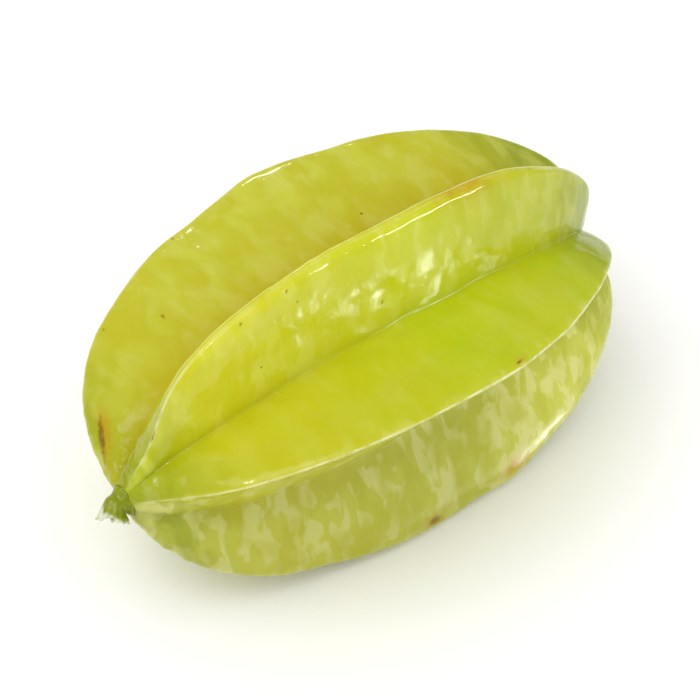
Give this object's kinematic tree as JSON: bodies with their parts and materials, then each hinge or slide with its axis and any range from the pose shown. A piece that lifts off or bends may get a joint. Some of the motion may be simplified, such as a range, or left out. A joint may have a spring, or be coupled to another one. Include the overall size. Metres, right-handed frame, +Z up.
{
  "type": "star fruit",
  "caption": "Whole star fruit (carambola) with long raised ribs, waxy yellow-green skin and a short stub of stalk, lying on its side as picked.",
  "frame": {"origin": "on the surface the fruit lies on, under the middle of its length and width", "axes": "+X along the fruit from the stalk end to the blossom end, +Y across it, +Z up"},
  "size_m": [0.1106, 0.066, 0.0572],
  "materials": {
    "skin": "waxy, glossy fruit skin with shallow dimples, slightly translucent",
    "stalk": "satin green stalk with a dry pale rim"
  },
  "bodies": {
    "root": {"fruit_body": "skin", "stalk_stub": "stalk"}
  },
  "joints": []
}
